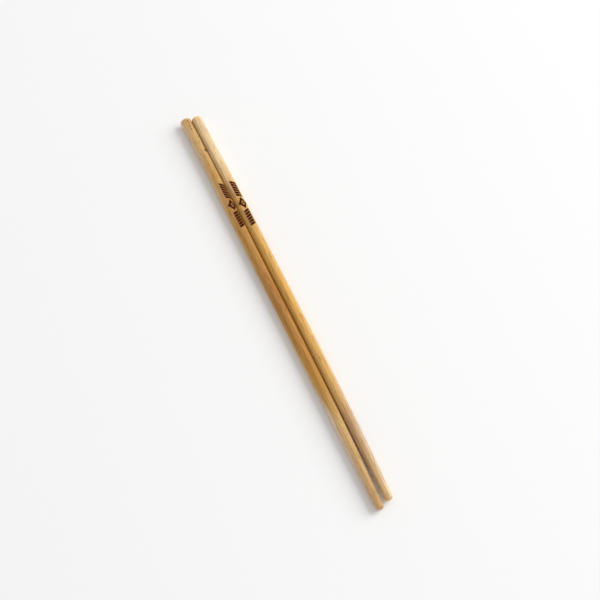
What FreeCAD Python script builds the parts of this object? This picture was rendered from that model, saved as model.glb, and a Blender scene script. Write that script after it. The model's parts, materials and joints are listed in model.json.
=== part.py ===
import FreeCAD, Part
import math
import os

# A pair of round bamboo chopsticks, lying side by side on a flat surface. Millimetres, +Z up.
# The sticks run along X, heads at -X and tips at +X. The origin is below the middle of the left stick's
# length, halfway between the two shanks, on the surface.

left_length = 231.5
right_length = 227.9
right_head_inset = 1.0        # the right head lies this much behind the left one
shank_diameter = 5.5
tip_diameter = 3.8
shank_length = 150.0          # even thickness from the head
slow_taper_length = 48.0      # a slow taper after the shank, and a quicker one from its end to the tip
slow_taper_diameter = 5.0     # at the slow taper's end
head_edge_radius = 0.7
tip_edge_radius = 1.3
side_clearance = 0.1          # between the two shanks

# Burnt-in ornament on each shank: slanted strokes either side of an open diamond with a dot in it
mark_start = 44.5             # from the head to the middle of the first stroke
left_mark_turn_deg = 36.0     # round the stick from straight up, towards +Y
right_mark_turn_deg = 29.0
mark_depth = 0.12
stroke_count = 6              # on each side of the diamond
stroke_pitch = 1.6
stroke_width = 1.25
stroke_height = 2.6
stroke_slant_deg = 24.0
diamond_length = 7.2
diamond_height = 3.8
diamond_line = 0.95
diamond_dot_diameter = 0.9
diamond_gap = 1.2             # from the diamond's corner to the middle of the nearest stroke

shank_radius = shank_diameter / 2
slow_taper_radius = slow_taper_diameter / 2
tip_radius = tip_diameter / 2
axis_offset = shank_radius + side_clearance / 2
above_surface = shank_radius

UP = FreeCAD.Vector(0, 0, 1)
ALONG = FreeCAD.Vector(1, 0, 0)


def rounded_corner(centre_x, centre_z, radius, start_deg, end_deg):
    """A quarter-round edge of the half outline, in the XZ plane."""
    points = []
    for degrees in (start_deg, (start_deg + end_deg) / 2, end_deg):
        angle = math.radians(degrees)
        points.append(FreeCAD.Vector(centre_x + radius * math.cos(angle), 0, centre_z + radius * math.sin(angle)))
    return Part.Arc(*points).toShape()


def turned_stick(length):
    """One stick on the X axis with its head face at x = 0: half its outline, turned round the axis."""
    taper_end = length - tip_edge_radius
    head_corner = rounded_corner(head_edge_radius, shank_radius - head_edge_radius, head_edge_radius, 180, 90)
    tip_corner = rounded_corner(taper_end, tip_radius - tip_edge_radius, tip_edge_radius, 90, 0)
    head_face_end = head_corner.Vertexes[0].Point
    shank_end = FreeCAD.Vector(shank_length, 0, shank_radius)
    slow_taper_end = FreeCAD.Vector(shank_length + slow_taper_length, 0, slow_taper_radius)
    tip_face_start = FreeCAD.Vector(length, 0, tip_radius - tip_edge_radius)
    outline = Part.Wire([
        Part.makeLine(FreeCAD.Vector(0, 0, 0), head_face_end),
        head_corner,
        Part.makeLine(FreeCAD.Vector(head_edge_radius, 0, shank_radius), shank_end),
        Part.makeLine(shank_end, slow_taper_end),
        Part.makeLine(slow_taper_end, FreeCAD.Vector(taper_end, 0, tip_radius)),
        tip_corner,
        Part.makeLine(tip_face_start, FreeCAD.Vector(length, 0, 0)),
        Part.makeLine(FreeCAD.Vector(length, 0, 0), FreeCAD.Vector(0, 0, 0)),
    ])
    return Part.Face(outline).revolve(FreeCAD.Vector(0, 0, 0), ALONG, 360)


def upright_prism(corners):
    """A flat outline in X and Y, made a prism that stands through the top half of the stick."""
    points = [FreeCAD.Vector(x, y, 0) for x, y in corners]
    face = Part.Face(Part.makePolygon(points + points[:1]))
    return face.extrude(UP * shank_diameter)


def stroke(middle_x, lean):
    """One slanted stroke, a thin parallelogram. lean is 1 or -1."""
    shift = lean * math.tan(math.radians(stroke_slant_deg)) * stroke_height / 2
    half_width = stroke_width / 2
    half_height = stroke_height / 2
    return upright_prism([
        (middle_x - half_width - shift, -half_height),
        (middle_x + half_width - shift, -half_height),
        (middle_x + half_width + shift, half_height),
        (middle_x - half_width + shift, half_height),
    ])


def diamond(middle_x, length, height):
    return upright_prism([
        (middle_x - length / 2, 0),
        (middle_x, -height / 2),
        (middle_x + length / 2, 0),
        (middle_x, height / 2),
    ])


def ornament():
    """The ornament's outlines as prisms, running along X from mark_start."""
    row_length = (stroke_count - 1) * stroke_pitch
    middle = mark_start + row_length + diamond_gap + diamond_length / 2
    shapes = []
    for index in range(stroke_count):
        away = diamond_length / 2 + diamond_gap + index * stroke_pitch
        shapes.append(stroke(middle - away, 1))
        shapes.append(stroke(middle + away, -1))
    # a line of even thickness all round needs a hole whose sides are diamond_line in from the outside
    corner_in = diamond_line * math.hypot(diamond_length, diamond_height) / diamond_height
    hole_scale = 1 - 2 * corner_in / diamond_length
    hole = diamond(middle, diamond_length * hole_scale, diamond_height * hole_scale)
    shapes.append(diamond(middle, diamond_length, diamond_height).cut(hole))
    shapes.append(Part.makeCylinder(diamond_dot_diameter / 2, shank_diameter, FreeCAD.Vector(middle, 0, 0), UP))
    return Part.makeCompound(shapes)


def with_ornament(stick, turn_deg):
    """The stick with the ornament burnt in to mark_depth, turned round the stick's axis."""
    skin_start = FreeCAD.Vector(mark_start - stroke_height, 0, 0)
    skin_length = 2 * (stroke_count * stroke_pitch + diamond_gap + stroke_height) + diamond_length
    outside = Part.makeCylinder(shank_radius + mark_depth, skin_length, skin_start, ALONG)
    inside = Part.makeCylinder(shank_radius - mark_depth, skin_length, skin_start, ALONG)
    pockets = ornament().common(outside.cut(inside))
    pockets.rotate(FreeCAD.Vector(0, 0, 0), ALONG, -turn_deg)
    return stick.cut(pockets)


def write_stick(node, length, head_x, side, mark_turn_deg):
    stick = with_ornament(turned_stick(length), mark_turn_deg)
    stick.translate(FreeCAD.Vector(head_x, side * axis_offset, above_surface))
    solid = stick.Solids[0]
    solid.exportStep("parts/" + node + ".step")
    print(node, len(stick.Solids), "solid", round(solid.Volume, 2), "mm3", "valid", solid.isValid())


os.makedirs("parts", exist_ok=True)
write_stick("left_chopstick", left_length, -left_length / 2, -1, left_mark_turn_deg)
write_stick("right_chopstick", right_length, right_head_inset - left_length / 2, 1, right_mark_turn_deg)
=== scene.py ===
import json
import math

import bmesh
import bpy
from mathutils import Matrix, Vector
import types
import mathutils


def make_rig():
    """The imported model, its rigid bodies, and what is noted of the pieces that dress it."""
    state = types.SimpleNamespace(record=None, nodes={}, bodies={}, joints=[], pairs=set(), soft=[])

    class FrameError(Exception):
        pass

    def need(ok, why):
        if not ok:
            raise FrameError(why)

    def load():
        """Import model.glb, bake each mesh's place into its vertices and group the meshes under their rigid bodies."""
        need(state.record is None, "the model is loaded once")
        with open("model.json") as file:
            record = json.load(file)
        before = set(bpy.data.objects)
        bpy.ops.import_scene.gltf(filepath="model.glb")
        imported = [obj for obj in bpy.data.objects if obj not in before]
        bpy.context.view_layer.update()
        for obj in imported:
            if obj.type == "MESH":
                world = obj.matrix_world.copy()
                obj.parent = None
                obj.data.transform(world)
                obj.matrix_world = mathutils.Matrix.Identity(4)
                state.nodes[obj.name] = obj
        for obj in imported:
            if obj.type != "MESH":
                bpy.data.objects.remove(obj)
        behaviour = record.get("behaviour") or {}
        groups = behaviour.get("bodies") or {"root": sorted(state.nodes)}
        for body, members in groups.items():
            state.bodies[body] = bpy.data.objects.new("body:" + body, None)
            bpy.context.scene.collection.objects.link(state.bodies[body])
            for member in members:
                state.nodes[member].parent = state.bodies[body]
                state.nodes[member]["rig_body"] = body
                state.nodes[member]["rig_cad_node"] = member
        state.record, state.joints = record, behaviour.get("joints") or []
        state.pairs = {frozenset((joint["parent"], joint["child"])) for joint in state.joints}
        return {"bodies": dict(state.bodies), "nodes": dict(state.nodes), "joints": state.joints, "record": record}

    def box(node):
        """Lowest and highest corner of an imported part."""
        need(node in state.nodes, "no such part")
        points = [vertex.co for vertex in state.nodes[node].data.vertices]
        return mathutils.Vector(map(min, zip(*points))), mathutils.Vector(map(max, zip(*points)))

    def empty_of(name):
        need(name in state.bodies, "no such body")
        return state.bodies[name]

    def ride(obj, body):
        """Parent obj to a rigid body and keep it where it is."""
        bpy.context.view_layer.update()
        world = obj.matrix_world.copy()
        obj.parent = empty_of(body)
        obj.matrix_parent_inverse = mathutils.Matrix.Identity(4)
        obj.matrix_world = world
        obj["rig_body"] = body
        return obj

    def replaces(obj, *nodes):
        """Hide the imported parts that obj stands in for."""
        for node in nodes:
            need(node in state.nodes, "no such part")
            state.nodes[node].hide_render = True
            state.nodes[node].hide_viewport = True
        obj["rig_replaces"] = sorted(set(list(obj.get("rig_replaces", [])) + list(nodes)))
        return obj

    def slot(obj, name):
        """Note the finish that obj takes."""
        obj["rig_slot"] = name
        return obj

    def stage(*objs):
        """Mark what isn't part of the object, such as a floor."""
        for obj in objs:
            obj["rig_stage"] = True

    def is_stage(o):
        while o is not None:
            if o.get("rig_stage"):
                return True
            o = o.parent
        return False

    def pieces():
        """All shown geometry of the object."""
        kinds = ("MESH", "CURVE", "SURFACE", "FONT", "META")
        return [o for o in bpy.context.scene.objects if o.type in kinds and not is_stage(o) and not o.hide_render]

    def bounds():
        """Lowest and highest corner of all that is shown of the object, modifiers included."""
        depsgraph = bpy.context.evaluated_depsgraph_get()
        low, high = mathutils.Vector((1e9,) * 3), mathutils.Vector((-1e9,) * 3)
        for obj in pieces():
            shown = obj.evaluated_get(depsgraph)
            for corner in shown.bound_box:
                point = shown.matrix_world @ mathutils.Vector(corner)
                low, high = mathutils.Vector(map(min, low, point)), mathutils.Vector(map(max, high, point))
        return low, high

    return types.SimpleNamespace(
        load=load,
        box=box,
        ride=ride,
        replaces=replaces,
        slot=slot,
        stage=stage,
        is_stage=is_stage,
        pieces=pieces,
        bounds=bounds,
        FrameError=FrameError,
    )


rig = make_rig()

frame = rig.load()
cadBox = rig.bounds()

# Bamboo chopsticks: two turned sticks with a burnt-in ornament. Blender units are metres, and mm turns
# a size in millimetres into metres.
mm = 0.001
print("frame loaded", sorted(frame["nodes"]))


# Small helpers for modelling

def deselectAll():
    if bpy.context.object and bpy.context.object.mode != "OBJECT":
        bpy.ops.object.mode_set(mode="OBJECT")
    bpy.ops.object.select_all(action="DESELECT")


def choose(*pieces):
    deselectAll()
    for piece in pieces:
        piece.select_set(True)
    bpy.context.view_layer.objects.active = pieces[0]


def editMesh(piece):
    choose(piece)
    bpy.ops.object.mode_set(mode="EDIT")
    bpy.ops.mesh.select_all(action="DESELECT")


def selectEdges(piece, wanted):
    # wanted is asked about an edge's two ends
    bpy.ops.mesh.select_mode(type="EDGE")
    mesh = bmesh.from_edit_mesh(piece.data)
    for edge in mesh.edges:
        edge.select_set(wanted(edge.verts[0].co, edge.verts[1].co))
    mesh.select_flush_mode()
    bmesh.update_edit_mesh(piece.data)


def selectFaces(piece, wanted):
    # wanted is asked about a face's middle and normal
    bpy.ops.mesh.select_mode(type="FACE")
    mesh = bmesh.from_edit_mesh(piece.data)
    for face in mesh.faces:
        face.select_set(wanted(face.calc_center_median(), face.normal))
    mesh.select_flush_mode()
    bmesh.update_edit_mesh(piece.data)


def applyPlace(piece):
    choose(piece)
    bpy.ops.object.transform_apply(location=True, rotation=True, scale=True)


def applyModifiers(piece):
    choose(piece)
    for modifier in list(piece.modifiers):
        bpy.ops.object.modifier_apply(modifier=modifier.name)


def cutAway(piece, cutter):
    modifier = piece.modifiers.new("cut", "BOOLEAN")
    modifier.operation = "DIFFERENCE"
    modifier.solver = "EXACT"
    modifier.object = cutter
    applyModifiers(piece)
    bpy.data.objects.remove(cutter)


# The turned form

form = {
    "sides": 144,
    "shankLength": 150.0,        # millimetres from the head, as all of these
    "slowTaperLength": 48.0,
    "slowTaperDiameter": 5.0,
    "tipDiameter": 3.8,
    "headRounding": 0.7,
    "tipRounding": 1.3,
    "roundingSteps": 7,
    "taperBlend": 14.0,          # the tapers run into each other over this length
    "taperBlendSteps": 6,
    "ringSpacing": 0.55,
    "fineRingSpacing": 0.2,      # where the ornament is
    "endGridSpan": 36,
    "bow": 0.75,                 # sideways at the middle of the length, towards +Y
}

ornament = {
    "start": 44.5,               # from the head to the middle of the first stroke
    "depth": 0.12,
    "strokeCount": 6,
    "strokePitch": 1.6,
    "strokeWidth": 1.25,
    "strokeHeight": 2.6,
    "strokeSlant": 24.0,
    "diamondLength": 7.2,
    "diamondHeight": 3.8,
    "diamondLine": 0.95,
    "dotDiameter": 0.9,
    "diamondGap": 1.2,
}
ornament["middle"] = (
    ornament["start"] + (ornament["strokeCount"] - 1) * ornament["strokePitch"]
    + ornament["diamondGap"] + ornament["diamondLength"] / 2
)
ornament["halfLength"] = ornament["middle"] - ornament["start"] + ornament["strokeHeight"]


def stickFacts(node):
    low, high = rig.box(node)
    radius = (high.z - low.z) / 2
    return {
        "headX": low.x,
        "tipX": high.x,
        "axisY": (low.y + high.y) / 2,
        "axisZ": low.z + radius,
        "radius": radius,
    }


def drawRing(stick, toX, radiusScale):
    axis = (toX, stick["axisY"], stick["axisZ"])
    bpy.ops.mesh.extrude_region_move(TRANSFORM_OT_translate={"value": (toX - stick["drawnTo"], 0, 0)})
    bpy.ops.transform.resize(value=(1, radiusScale, radiusScale), center_override=axis)
    stick["drawnTo"] = toX


def nearX(point, x):
    return abs(point.x - x) < 0.002 * mm


def turnStick(name, stick):
    bpy.ops.mesh.primitive_circle_add(
        vertices=form["sides"], radius=stick["radius"], fill_type="NOTHING",
        location=(stick["headX"], stick["axisY"], stick["axisZ"]), rotation=(0, math.radians(90), 0),
    )
    piece = bpy.context.object
    piece.name = name
    applyPlace(piece)
    bpy.ops.object.mode_set(mode="EDIT")
    bpy.ops.mesh.select_mode(type="VERT")
    bpy.ops.mesh.select_all(action="SELECT")

    # drawn out ring by ring from the head to the tip, thinner along the tapers
    stick["drawnTo"] = stick["headX"]
    shankEnd = stick["headX"] + form["shankLength"] * mm
    slowTaperEnd = shankEnd + form["slowTaperLength"] * mm
    fromHead = ornament["middle"] - ornament["halfLength"], ornament["middle"] + ornament["halfLength"]
    for distance in fromHead:
        drawRing(stick, stick["headX"] + distance * mm, 1)
    drawRing(stick, shankEnd, 1)
    drawRing(stick, slowTaperEnd, form["slowTaperDiameter"] * mm / 2 / stick["radius"])
    drawRing(stick, stick["tipX"], form["tipDiameter"] / form["slowTaperDiameter"])

    # both ends closed, then rounded over
    bpy.ops.mesh.edge_face_add()
    bpy.ops.mesh.select_all(action="DESELECT")
    selectEdges(piece, lambda a, b: nearX(a, stick["headX"]) and nearX(b, stick["headX"]))
    bpy.ops.mesh.edge_face_add()
    for endX, rounding in ((stick["headX"], form["headRounding"]), (stick["tipX"], form["tipRounding"])):
        selectEdges(piece, lambda a, b: nearX(a, endX) and nearX(b, endX))
        bpy.ops.mesh.bevel(offset=rounding * mm, segments=form["roundingSteps"], affect="EDGES")

    # the kinks where the tapers start are eased
    for kinkX in (shankEnd, slowTaperEnd):
        selectEdges(piece, lambda a, b: nearX(a, kinkX) and nearX(b, kinkX))
        bpy.ops.mesh.bevel(
            offset=form["taperBlend"] * mm / 2, segments=form["taperBlendSteps"], affect="EDGES",
        )

    gridEnds(piece, stick)
    addRings(piece, stick)
    bpy.ops.mesh.select_all(action="SELECT")
    bpy.ops.mesh.normals_make_consistent(inside=False)
    bpy.ops.object.mode_set(mode="OBJECT")
    return piece


def gridEnds(piece, stick):
    # each flat end is one big face: it becomes a square grid, so that the end grain can be modelled
    for endX in (stick["headX"], stick["tipX"]):
        selectFaces(piece, lambda middle, normal: nearX(middle, endX))
        bpy.ops.mesh.delete(type="ONLY_FACE")
        selectEdges(piece, lambda a, b: nearX(a, endX) and nearX(b, endX))
        bpy.ops.mesh.fill_grid(span=form["endGridSpan"])


def addRings(piece, stick):
    # every long stretch gets its own number of rings
    mesh = bmesh.from_edit_mesh(piece.data)
    places = sorted({round(vertex.co.x / mm, 3) for vertex in mesh.verts})
    fineStart = stick["headX"] / mm + ornament["middle"] - ornament["halfLength"]
    fineEnd = fineStart + 2 * ornament["halfLength"]
    for start, end in zip(places, places[1:]):
        fine = start > fineStart - 0.01 and end < fineEnd + 0.01
        spacing = form["fineRingSpacing"] if fine else form["ringSpacing"]
        cuts = int(round((end - start) / spacing)) - 1
        if cuts < 1:
            continue
        selectEdges(piece, lambda a, b: spans(a, b, start * mm, end * mm))
        bpy.ops.mesh.subdivide(number_cuts=cuts)


def spans(a, b, start, end):
    return (nearX(a, start) and nearX(b, end)) or (nearX(a, end) and nearX(b, start))


# Relief of the fibres. Each layer is a noise that is stretched along the stick: along and across are its
# scale in millimetres, height is how far it lifts the surface, or sinks it if it is negative, and level is
# the noise's value that leaves the surface where it is. Only noise above rareness counts.

reliefLayers = [
    {"name": "outOfRound", "along": 45.0, "across": 3.2, "height": 0.09, "level": 0.55, "rareness": 0.0},
    {"name": "fibres", "along": 16.0, "across": 0.42, "height": 0.08, "level": 0.6, "rareness": 0.0},
    {"name": "fineFibres", "along": 5.0, "across": 0.2, "height": 0.035, "level": 0.6, "rareness": 0.0},
    {"name": "tornFibres", "along": 6.0, "across": 0.3, "height": -0.13, "level": 0.0, "rareness": 0.66},
]


def roughen(piece, seedShift):
    smoothPlaces = [vertex.co.copy() for vertex in piece.data.vertices]
    for layer in reliefLayers:
        texture = bpy.data.textures.new(layer["name"], "CLOUDS")
        texture.noise_scale = 1.0
        texture.noise_depth = 1
        if layer["rareness"]:
            texture.use_color_ramp = True
            texture.color_ramp.elements[0].position = layer["rareness"]
            texture.color_ramp.elements[1].position = layer["rareness"] + 0.12
        along = layer["along"] * mm
        across = layer["across"] * mm
        bpy.ops.object.empty_add(location=(seedShift * along, seedShift * across, 0))
        guide = bpy.context.object
        guide.scale = (along, across, across)
        modifier = piece.modifiers.new(layer["name"], "DISPLACE")
        modifier.texture = texture
        modifier.texture_coords = "OBJECT"
        modifier.texture_coords_object = guide
        modifier.strength = layer["height"] * mm
        modifier.mid_level = layer["level"]
        bpy.context.view_layer.update()
        applyModifiers(piece)
        bpy.data.objects.remove(guide)

    # each point keeps how far it was sunk, in millimetres, so that the material can darken the low places with painted
    # shade and lighten the raised ones with a painted highlight
    sunk = piece.data.attributes.new("sunk", "FLOAT", "POINT")
    for vertex, smoothPlace in zip(piece.data.vertices, smoothPlaces):
        sunk.data[vertex.index].value = (smoothPlace - vertex.co).dot(vertex.normal) / mm


def bowStick(piece, stick):
    # the middle of the length is drawn sideways, and the ends stay where they are
    middleX = (stick["headX"] + stick["tipX"]) / 2
    reach = (stick["tipX"] - stick["headX"]) / 2
    editMesh(piece)
    mesh = bmesh.from_edit_mesh(piece.data)
    nearest = min(abs(vertex.co.x - middleX) for vertex in mesh.verts)
    bpy.ops.mesh.select_mode(type="VERT")
    for vertex in mesh.verts:
        vertex.select_set(abs(vertex.co.x - middleX) < nearest + form["ringSpacing"] * mm)
    bmesh.update_edit_mesh(piece.data)
    bpy.ops.transform.translate(
        value=(0, form["bow"] * mm, 0), use_proportional_edit=True,
        proportional_edit_falloff="INVERSE_SQUARE", proportional_size=reach,
    )
    bpy.ops.object.mode_set(mode="OBJECT")


# The burnt ornament's cutters

def placeOnStick(stick, alongX, acrossY):
    # a place on the ornament's flat drawing, at the height of the stick's axis
    x = stick["headX"] + (ornament["middle"] + alongX) * mm
    return (x, stick["axisY"] + acrossY * mm, stick["axisZ"])


def slantedStroke(stick, alongX, lean):
    tall = 2 * stick["radius"]
    place = Vector(placeOnStick(stick, alongX, 0)) + Vector((0, 0, tall / 2))
    bpy.ops.mesh.primitive_cube_add(size=1, location=place)
    stroke = bpy.context.object
    stroke.scale = (ornament["strokeWidth"] * mm, ornament["strokeHeight"] * mm, tall)
    applyPlace(stroke)
    shift = lean * math.tan(math.radians(ornament["strokeSlant"])) * ornament["strokeHeight"] * mm / 2
    for side in (-1, 1):
        editMesh(stroke)
        selectFaces(stroke, lambda middle, normal: normal.y * side > 0.7)
        bpy.ops.transform.translate(value=(side * shift, 0, 0))
        bpy.ops.object.mode_set(mode="OBJECT")
    return stroke


def openDiamond(stick):
    place = placeOnStick(stick, 0, 0)
    bpy.ops.mesh.primitive_circle_add(vertices=4, radius=1, fill_type="NGON", location=place)
    diamond = bpy.context.object
    diamond.scale = (ornament["diamondLength"] * mm / 2, ornament["diamondHeight"] * mm / 2, 1)
    applyPlace(diamond)
    editMesh(diamond)
    bpy.ops.mesh.select_mode(type="FACE")
    bpy.ops.mesh.select_all(action="SELECT")
    bpy.ops.mesh.inset(thickness=ornament["diamondLine"] * mm, use_even_offset=True)
    bpy.ops.mesh.delete(type="FACE")
    bpy.ops.mesh.select_all(action="SELECT")
    bpy.ops.mesh.extrude_region_move(TRANSFORM_OT_translate={"value": (0, 0, 2 * stick["radius"])})
    bpy.ops.mesh.select_all(action="SELECT")
    bpy.ops.mesh.normals_make_consistent(inside=False)
    bpy.ops.object.mode_set(mode="OBJECT")
    return diamond


def centreDot(stick):
    place = Vector(placeOnStick(stick, 0, 0)) + Vector((0, 0, stick["radius"]))
    bpy.ops.mesh.primitive_cylinder_add(
        vertices=28, radius=ornament["dotDiameter"] * mm / 2, depth=2 * stick["radius"], location=place,
    )
    dot = bpy.context.object
    applyPlace(dot)
    return dot


def burnIn(piece, stick):
    shapes = [openDiamond(stick), centreDot(stick)]
    for index in range(ornament["strokeCount"]):
        away = ornament["diamondLength"] / 2 + ornament["diamondGap"] + index * ornament["strokePitch"]
        shapes.append(slantedStroke(stick, -away, 1))
        shapes.append(slantedStroke(stick, away, -1))
    choose(*shapes)
    bpy.ops.object.join()
    cutter = bpy.context.object

    # the stick's core is taken out of the cutter, so that each pocket has a round floor
    bpy.ops.mesh.primitive_cylinder_add(
        vertices=form["sides"], radius=stick["radius"] - ornament["depth"] * mm,
        depth=4 * ornament["halfLength"] * mm, location=placeOnStick(stick, 0, 0),
        rotation=(0, math.radians(90), 0),
    )
    core = bpy.context.object
    applyPlace(core)
    cutAway(cutter, core)
    choose(cutter)
    axis = Matrix.Translation(placeOnStick(stick, 0, 0))
    turn = Matrix.Rotation(-stick["markTurn"], 4, "X")
    cutter.matrix_world = axis @ turn @ axis.inverted()
    applyPlace(cutter)
    cutAway(piece, cutter)


def finishStick(piece):
    editMesh(piece)
    bpy.ops.mesh.select_all(action="SELECT")
    bpy.ops.mesh.remove_doubles(threshold=0.001 * mm)
    bpy.ops.mesh.delete_loose()

    # slivers that the cut left open are closed
    bpy.ops.mesh.select_all(action="SELECT")
    bpy.ops.mesh.fill_holes(sides=0)
    bpy.ops.mesh.select_all(action="SELECT")
    bpy.ops.mesh.normals_make_consistent(inside=False)
    bpy.ops.object.mode_set(mode="OBJECT")
    choose(piece)
    bpy.ops.object.shade_smooth_by_angle(angle=math.radians(45))


def makeStick(row):
    name = row["name"]
    stick = stickFacts(row["node"])
    stick["markTurn"] = math.radians(row["markTurn"])
    piece = turnStick(name, stick)
    roughen(piece, row["shift"])
    burnIn(piece, stick)
    bowStick(piece, stick)
    finishStick(piece)
    print(name, "modelled,", len(piece.data.polygons), "faces")
    return piece, stick


# Shader maths: a wire is a node's output that Python's operators work on

class Wire:
    def __init__(self, finish, socket):
        self.finish = finish
        self.socket = socket

    def __add__(self, other):
        return self.finish.maths("ADD", self, other)

    __radd__ = __add__

    def __sub__(self, other):
        return self.finish.maths("SUBTRACT", self, other)

    def __rsub__(self, other):
        return self.finish.maths("SUBTRACT", other, self)

    def __mul__(self, other):
        return self.finish.maths("MULTIPLY", self, other)

    __rmul__ = __mul__

    def __truediv__(self, other):
        return self.finish.maths("DIVIDE", self, other)

    def __abs__(self):
        return self.finish.maths("ABSOLUTE", self)

    def __round__(self):
        return self.finish.maths("ROUND", self)


class Finish:
    def __init__(self, name):
        self.material = bpy.data.materials.new(name)
        self.material.use_nodes = True
        self.tree = self.material.node_tree
        self.tree.nodes.clear()

    def add(self, kind, settings=None, sockets=None, output=0):
        # settings are set before the sockets are filled
        node = self.tree.nodes.new(kind)
        for name, value in (settings or {}).items():
            if name == "stops":
                self.setStops(node.color_ramp, value)
            else:
                setattr(node, name, value)
        for key, value in (sockets or {}).items():
            if isinstance(value, Wire):
                self.tree.links.new(value.socket, node.inputs[key])
            else:
                node.inputs[key].default_value = value
        return Wire(self, node.outputs[output]) if node.outputs else node

    def setStops(self, ramp, stops):
        while len(ramp.elements) < len(stops):
            ramp.elements.new(0.5)
        for element, (position, colour) in zip(ramp.elements, stops):
            element.position = position
            element.color = colour

    def maths(self, operation, *values):
        return self.add("ShaderNodeMath", {"operation": operation}, dict(enumerate(values)))

    def larger(self, a, b):
        return self.maths("MAXIMUM", a, b)

    def smaller(self, a, b):
        return self.maths("MINIMUM", a, b)

    def ease(self, value, start, end):
        # 0 up to start, 1 from end on, and smooth between; start may be the larger one
        sockets = {"Value": value, "From Min": start, "From Max": end, "To Min": 0.0, "To Max": 1.0}
        return self.add("ShaderNodeMapRange", {"interpolation_type": "SMOOTHSTEP", "clamp": True}, sockets)

    def point(self, x, y, z):
        return self.add("ShaderNodeCombineXYZ", None, {"X": x, "Y": y, "Z": z})

    def noise(self, point, scale=1.0, detail=2.0, roughness=0.5):
        return self.add(
            "ShaderNodeTexNoise", {"noise_dimensions": "3D"},
            {"Vector": point, "Scale": scale, "Detail": detail, "Roughness": roughness},
        )

    def cells(self, point, scale):
        # 0 in the middle of each cell, and larger outwards
        return self.add(
            "ShaderNodeTexVoronoi", {"voronoi_dimensions": "2D", "feature": "F1"},
            {"Vector": point, "Scale": scale, "Randomness": 0.9},
        )

    def blend(self, amount, first, second, how="MIX"):
        node = self.tree.nodes.new("ShaderNodeMix")
        node.data_type = "RGBA"
        node.blend_type = how
        for socket, value in ((node.inputs[0], amount), (node.inputs[6], first), (node.inputs[7], second)):
            if isinstance(value, Wire):
                self.tree.links.new(value.socket, socket)
            else:
                socket.default_value = value
        return Wire(self, node.outputs[2])


# The bamboo

def colour(red, green, blue):
    # from the 0 to 255 values of a picture to the shader's linear ones
    parts = []
    for value in (red, green, blue):
        share = value / 255
        parts.append(share / 12.92 if share <= 0.04045 else ((share + 0.055) / 1.055) ** 2.4)
    return (*parts, 1.0)


bamboo = {
    "fibreBrown": colour(168, 108, 48),
    # bundle colour, also used for the flecks and for the painted shade in sunk grooves
    "bundleAndShadeBrown": colour(128, 74, 30),
    "poreBrown": colour(84, 46, 20),
    "char": colour(40, 10, 3),
    "charBrown": colour(88, 32, 10),
    "scorch": colour(142, 72, 28),
    # painted shade tint for the side of a stick that faces the other one
    "valleyShadeTint": colour(222, 200, 110),
    # painted highlight colour for the raised fibres
    "ridgeHighlight": colour(244, 214, 164),
    "spot": colour(70, 34, 18),
    "streakDepth": 0.24,         # how far each of these darkens the tone, from 0 to 1
    "fibreDepth": 0.32,
    "fleckDepth": 0.5,
    "scorchDepth": 0.5,
    "roughness": 0.5,
    "refraction": 1.45,
    "specular": 0.45,
    "charRoughness": 0.9,
    "charSpecular": 0.08,
    "bumpStrength": 0.35,
    "bumpDistance": 0.0001,      # metres
    "glow": 0.3,                 # share of the light that enters the wood and comes out beside
    "glowReach": 0.002,          # metres
}


def spotDistance(finish, spot, along, acrossY, upZ):
    # 1 on the edge of a long spot on the stick's side, less inside it; lengths in millimetres
    turn = math.radians(spot["turn"])
    aroundStick = acrossY * math.cos(turn) - upZ * math.sin(turn)
    facing = acrossY * math.sin(turn) + upZ * math.cos(turn)
    lengthways = (along - spot["fromHead"]) / (spot["length"] / 2)
    sideways = aroundStick / (spot["width"] / 2)
    ragged = finish.noise(finish.point(along * 3, acrossY * 5, upZ * 5), 1.0, 2.0) - 0.5
    reach = finish.maths("SQRT", lengthways * lengthways + sideways * sideways) + ragged * 0.9
    return reach + finish.ease(facing, 0.5, 0.0) * 9


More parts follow.
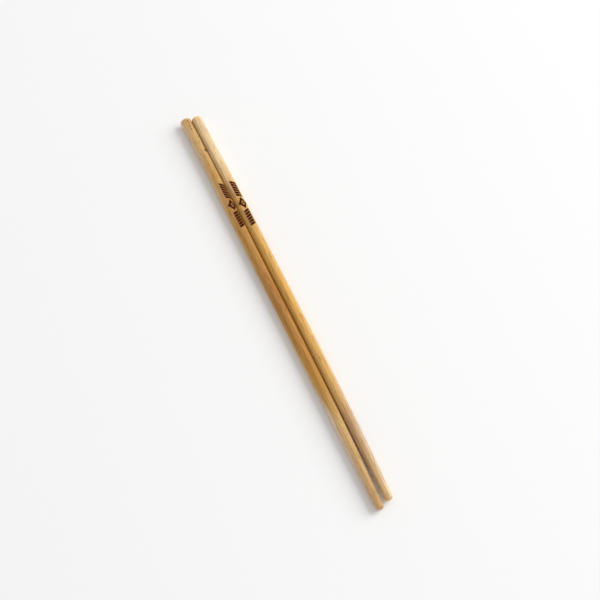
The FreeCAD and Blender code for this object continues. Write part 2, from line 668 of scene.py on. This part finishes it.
def bambooFinish(stick, row):
    finish = Finish(row["name"] + "Bamboo")
    seed = row["seed"]
    place = finish.add("ShaderNodeTexCoord", output=3)
    split = finish.tree.nodes.new("ShaderNodeSeparateXYZ")
    finish.tree.links.new(place.socket, split.inputs[0])
    x, y, z = (Wire(finish, output) * 1000 for output in split.outputs)
    along = x - stick["headX"] / mm
    acrossY = y - stick["axisY"] / mm
    upZ = z - stick["axisZ"] / mm
    length = (stick["tipX"] - stick["headX"]) / mm

    # the fibres wander a little, so that the turned surface cuts them into long dashes
    wanderY = finish.noise(finish.point(along / 38 + seed, 3.7, 0.0), 1.0, 1.0) - 0.5
    wanderZ = finish.noise(finish.point(along / 31 + seed, 9.2, 5.0), 1.0, 1.0) - 0.5
    fibreY = acrossY + wanderY * 1.5 + seed
    fibreZ = upZ + wanderZ * 1.5

    # tone along the stick, from a pale head over a golden shank to a pale tail; the pale head and tail are partly the
    # bamboo's own tone and partly a painted whitish sheen
    drift = finish.noise(finish.point(along / 30 + seed, fibreY * 0.3, fibreZ * 0.3), 1.0, 2.0) - 0.5
    share = along / length + drift * 0.16
    tone = finish.add(
        "ShaderNodeValToRGB",
        {"stops": [
            (0.0, row["headTone"]), (0.13, row["headTone"]), (0.25, row["shankTone"]),
            (0.48, row["deepTone"]), (0.7, row["shankTone"]), (0.82, row["tailTone"]), (0.96, row["tipTone"]),
        ]},
        {"Fac": share},
    )

    # soft streaks, fine fibres and the brown bundles between them
    streakNoise = finish.noise(finish.point(along / 60, fibreY * 0.9, fibreZ * 0.9), 1.0, 2.0)
    streak = finish.ease(streakNoise, 0.35, 0.7)
    tone = finish.blend(streak * bamboo["streakDepth"], tone, bamboo["fibreBrown"])
    fibreNoise = finish.noise(finish.point(along / 26, fibreY * 3.2, fibreZ * 3.2), 1.0, 3.0, 0.6)
    fibre = finish.ease(fibreNoise, 0.45, 0.72)
    tone = finish.blend(fibre * bamboo["fibreDepth"], tone, bamboo["fibreBrown"])

    # each stick's side that faces the other stick gets painted shade, a darker tint as deep as its row says; small
    # bundles lie close together there, as on the culm's skin side, and the other side has large ones
    skinAndShadeTurn = math.radians(row["skinAndShadeTurn"])
    skinAndShadeShare = finish.ease(acrossY * math.sin(skinAndShadeTurn) + upZ * math.cos(skinAndShadeTurn), -1.6, 2.4)
    tone = finish.blend(skinAndShadeShare * row["valleyShadeDepth"], tone, bamboo["valleyShadeTint"], "MULTIPLY")
    large = finish.cells(finish.point(fibreY, fibreZ, 0.0), 1.15)
    small = finish.cells(finish.point(fibreY, fibreZ, 0.0), 2.0)
    bundle = finish.ease(large, 0.28, 0.15) * (1 - skinAndShadeShare) + finish.ease(small, 0.3, 0.17) * skinAndShadeShare
    pore = finish.ease(large, 0.13, 0.05) * (1 - skinAndShadeShare)
    patchNoise = finish.noise(finish.point(along / 7, fibreY * 1.1, fibreZ * 1.1), 1.0, 3.0, 0.65)
    patchy = finish.ease(patchNoise, 0.38, 0.62)
    tone = finish.blend(bundle * (0.25 + 0.35 * patchy), tone, bamboo["bundleAndShadeBrown"])
    tone = finish.blend(pore * patchy * 0.55, tone, bamboo["poreBrown"])
    fleck = finish.ease(finish.noise(finish.point(along / 2.2, fibreY * 6, fibreZ * 6), 1.0, 2.0), 0.68, 0.8)
    tone = finish.blend(fleck * bamboo["fleckDepth"], tone, bamboo["bundleAndShadeBrown"])
    # painted shade darkens the sunk grooves, and a painted highlight lightens the raised fibres
    sunk = finish.add("ShaderNodeAttribute", {"attribute_name": "sunk"}, output=2)
    tone = finish.blend(finish.ease(sunk, 0.03, 0.14) * 0.45, tone, bamboo["bundleAndShadeBrown"])
    tone = finish.blend(finish.ease(sunk, 0.02, -0.02) * 0.12, tone, bamboo["ridgeHighlight"])
    for spot in row["spots"]:
        away = spotDistance(finish, spot, along, acrossY, upZ)
        tone = finish.blend(finish.ease(away, 1.15, 0.55) * spot["depth"], tone, bamboo["spot"])

    burn, scorch = burnMask(finish, stick, along, acrossY, upZ)
    charNoise = finish.noise(finish.point(along * 1.6, acrossY * 2.6, upZ * 2.6 + seed), 1.0, 3.0)
    charTone = finish.blend(finish.ease(charNoise, 0.4, 0.66), bamboo["char"], bamboo["charBrown"])
    tone = finish.blend(scorch * bamboo["scorchDepth"], tone, bamboo["scorch"])

    # bump: fibre ridges, sunk pores and a rough, charred ornament
    grain = finish.noise(finish.point(along / 14, fibreY * 9, fibreZ * 9), 1.0, 3.0, 0.6)
    sanding = finish.noise(finish.point(along * 1.2, acrossY * 14, upZ * 14), 1.0, 1.0)
    height = grain * 0.6 + sanding * 0.12 - bundle * 0.25 - pore * 0.3 - burn * 0.4
    bump = finish.add("ShaderNodeBump", None, {
        "Strength": bamboo["bumpStrength"], "Distance": bamboo["bumpDistance"], "Height": height,
    })
    gloss = bamboo["roughness"] + fibre * 0.12 - bundle * 0.08
    wood = finish.add(
        "ShaderNodeBsdfPrincipled", None,
        {"Base Color": tone, "Roughness": gloss, "Normal": bump,
         "IOR": bamboo["refraction"], "Specular IOR Level": bamboo["specular"],
         "Subsurface Weight": bamboo["glow"], "Subsurface Radius": (1.0, 0.5, 0.2),
         "Subsurface Scale": bamboo["glowReach"]},
    )
    charred = finish.add(
        "ShaderNodeBsdfPrincipled", None,
        {"Base Color": charTone, "Roughness": bamboo["charRoughness"], "Normal": bump,
         "Specular IOR Level": bamboo["charSpecular"]},
    )
    shader = finish.add("ShaderNodeMixShader", None, {0: burn, 1: wood, 2: charred})
    finish.add("ShaderNodeOutputMaterial", None, {"Surface": shader})
    return finish.material


def burnMask(finish, stick, along, acrossY, upZ):
    # how far a point is from the ornament's outline, in millimetres, negative inside it
    turn = stick["markTurn"]
    u = along - ornament["middle"]
    w = acrossY * math.cos(turn) - upZ * math.sin(turn)
    facing = finish.ease(acrossY * math.sin(turn) + upZ * math.cos(turn), 0.0, 0.5)

    slant = math.radians(ornament["strokeSlant"])
    first = ornament["diamondLength"] / 2 + ornament["diamondGap"]
    steps = (abs(u) + w * math.tan(slant) - first) / ornament["strokePitch"]
    nearest = finish.smaller(finish.larger(round(steps), 0), ornament["strokeCount"] - 1)
    fromMiddle = abs(steps - nearest) * ornament["strokePitch"]
    sideways = (fromMiddle - ornament["strokeWidth"] / 2) * math.cos(slant)
    stroke = finish.larger(sideways, abs(w) - ornament["strokeHeight"] / 2)

    halfLength = ornament["diamondLength"] / 2
    halfHeight = ornament["diamondHeight"] / 2
    slope = halfLength * halfHeight / math.hypot(halfLength, halfHeight)
    outside = (abs(u) / halfLength + abs(w) / halfHeight - 1) * slope
    ring = abs(outside + ornament["diamondLine"] / 2) - ornament["diamondLine"] / 2
    dot = finish.maths("SQRT", u * u + w * w) - ornament["dotDiameter"] / 2

    ragged = finish.noise(finish.point(along * 2.2, acrossY * 4 + turn * 30, upZ * 4), 1.0, 3.0) - 0.5
    outline = finish.smaller(finish.smaller(stroke, ring), dot) + ragged * 0.14
    burn = finish.ease(outline, 0.09, -0.03) * facing
    scorch = finish.ease(outline, 0.6, 0.0) * facing
    return burn, scorch


# The two sticks

# dark specks of the natural bamboo: where, how long and wide in millimetres, and how dark from 0 to 1
leftSpots = [
    {"fromHead": 21.8, "turn": 50.0, "length": 1.9, "width": 1.9, "depth": 1.0},
    {"fromHead": 2.1, "turn": 13.0, "length": 1.2, "width": 0.8, "depth": 0.9},
    {"fromHead": 3.5, "turn": 16.0, "length": 1.0, "width": 0.7, "depth": 0.85},
    {"fromHead": 5.4, "turn": 12.0, "length": 1.3, "width": 0.7, "depth": 0.9},
    {"fromHead": 7.4, "turn": 14.0, "length": 1.1, "width": 0.6, "depth": 0.8},
    {"fromHead": 3.0, "turn": -46.0, "length": 0.7, "width": 0.5, "depth": 0.5},
]
rightSpots = [
    {"fromHead": 9.5, "turn": -24.0, "length": 0.9, "width": 0.35, "depth": 0.45},
    {"fromHead": 151.0, "turn": 8.0, "length": 1.6, "width": 0.4, "depth": 0.5},
]

# markTurn is how far the ornament lies round the stick from straight up, and the turn after it which side faces the
# other stick, both in degrees; that side has the culm's small skin-side bundles and a painted shade, as dark as the
# depth after it says; the tones run from the head to the tip
# the paler head, tail and tip tones are partly the bamboo's own tone and partly a painted whitish sheen
sticks = [
    {
        "name": "leftStick", "node": "left_chopstick", "seed": 2.3, "shift": 0.37, "markTurn": 36.0,
        "skinAndShadeTurn": 55, "valleyShadeDepth": 0.8,
        "headTone": colour(230, 200, 166), "shankTone": colour(210, 165, 89),
        "deepTone": colour(189, 135, 53), "tailTone": colour(243, 220, 194), "tipTone": colour(224, 194, 158),
        "spots": leftSpots,
    },
    {
        "name": "rightStick", "node": "right_chopstick", "seed": 7.9, "shift": 5.61, "markTurn": 29.0,
        "skinAndShadeTurn": -60, "valleyShadeDepth": 0.15,
        "headTone": colour(251, 224, 180), "shankTone": colour(233, 189, 110),
        "deepTone": colour(231, 181, 94), "tailTone": colour(203, 171, 132), "tipTone": colour(226, 196, 150),
        "spots": rightSpots,
    },
]

for row in sticks:
    piece, stick = makeStick(row)
    piece.data.materials.clear()
    piece.data.materials.append(bambooFinish(stick, row))
    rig.ride(piece, "root")
    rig.slot(piece, "bamboo")
    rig.replaces(piece, row["node"])
    print(row["name"], "finished")


# Floor, light and camera

studio = {
    "floorSize": 6.0,
    "floorColour": (0.93, 0.93, 0.928, 1.0),
    "skyStrength": 0.6,
    "keyPower": 76.0,
    "keySize": 2.3,
    "keyDistance": 3.0,
    "keyRight": 0.8,             # the light's share from the picture's right, from behind and from above
    "keyBehind": 0.35,
    "keyAbove": 0.62,
    "azimuth": 66.1,             # degrees; 0 looks along +Y and 90 along -X
    "elevation": 60.0,
    "distance": 0.85,
    "lens": 106.95,
    "aimX": 1.35,                # millimetres, and aimY too
    "aimY": 8.6,
}


def layFloor():
    bpy.ops.mesh.primitive_plane_add(size=studio["floorSize"], location=(0, 0, 0))
    floor = bpy.context.object
    floor.name = "floor"
    finish = Finish("floorPaper")
    place = finish.add("ShaderNodeTexCoord", output=3)
    fine = finish.noise(place, 900.0, 2.0)
    bump = finish.add("ShaderNodeBump", None, {"Strength": 0.04, "Distance": 0.0001, "Height": fine})
    shader = finish.add(
        "ShaderNodeBsdfPrincipled", None,
        {"Base Color": studio["floorColour"], "Roughness": 0.9, "Specular IOR Level": 0.1, "Normal": bump},
    )
    finish.add("ShaderNodeOutputMaterial", None, {"Surface": shader})
    floor.data.materials.append(finish.material)
    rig.stage(floor)


def viewAxes():
    azimuth = math.radians(studio["azimuth"])
    elevation = math.radians(studio["elevation"])
    flat = Vector((math.sin(azimuth), -math.cos(azimuth), 0))
    back = flat * math.cos(elevation) + Vector((0, 0, math.sin(elevation)))
    right = Vector((math.cos(azimuth), math.sin(azimuth), 0))
    return flat, back, right


def setLights():
    flat, right = viewAxes()[0], viewAxes()[2]
    world = bpy.data.worlds.new("studio")
    bpy.context.scene.world = world
    world.use_nodes = True
    sky = world.node_tree.nodes["Background"]
    sky.inputs["Color"].default_value = (1.0, 1.0, 1.0, 1.0)
    sky.inputs["Strength"].default_value = studio["skyStrength"]
    direction = right * studio["keyRight"] - flat * studio["keyBehind"] + Vector((0, 0, studio["keyAbove"]))
    direction.normalize()
    bpy.ops.object.light_add(type="AREA", location=direction * studio["keyDistance"])
    key = bpy.context.object
    key.name = "keyLight"
    key.data.energy = studio["keyPower"]
    key.data.size = studio["keySize"]
    key.rotation_euler = direction.to_track_quat("Z", "Y").to_euler()


def setCamera():
    back = viewAxes()[1]
    aim = Vector((studio["aimX"] * mm, studio["aimY"] * mm, 0))
    bpy.ops.object.camera_add(location=aim + back * studio["distance"])
    camera = bpy.context.object
    camera.rotation_euler = back.to_track_quat("Z", "Y").to_euler()
    camera.data.lens = studio["lens"]
    camera.data.clip_start = 0.01
    bpy.context.scene.camera = camera


layFloor()
setLights()
setCamera()
bpy.context.scene.view_settings.view_transform = "Standard"
print("floor, light and camera set")

with open("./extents.json", "w") as sizeFile:
    boxes = {"cad": cadBox, "visual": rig.bounds()}
    json.dump({name: [list(corner) for corner in corners] for name, corners in boxes.items()}, sizeFile)
